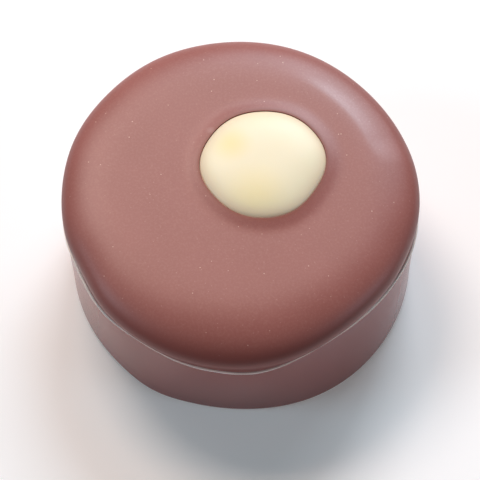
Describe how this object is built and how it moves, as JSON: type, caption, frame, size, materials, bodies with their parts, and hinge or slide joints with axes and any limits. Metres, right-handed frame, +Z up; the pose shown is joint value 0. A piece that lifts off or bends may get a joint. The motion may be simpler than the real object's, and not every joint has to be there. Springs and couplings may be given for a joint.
{
  "type": "round filled chocolate",
  "caption": "Small round filled milk chocolate with a moulded base, a rounded cap and an off-centre white chocolate dot let into its top; rests on a flat underside.",
  "frame": {"origin": "centre of the flat underside, on the surface that the chocolate stands on", "axes": "+Z up along the chocolate's own axis; -Y is the side towards the picture's camera, with +X to its right"},
  "size_m": [0.03, 0.0308, 0.0139],
  "materials": {
    "moulded_chocolate": "glossy milk chocolate as it leaves a mould, with a thin bright lip at its upper edge",
    "milk_chocolate": "satin milk chocolate with a soft sheen and a few fine specks",
    "white_chocolate": "smooth ivory white chocolate, slightly translucent, with faint yellow patches"
  },
  "bodies": {
    "root": {"base": "moulded_chocolate", "cap": "milk_chocolate", "white_dot": "white_chocolate"}
  },
  "joints": []
}
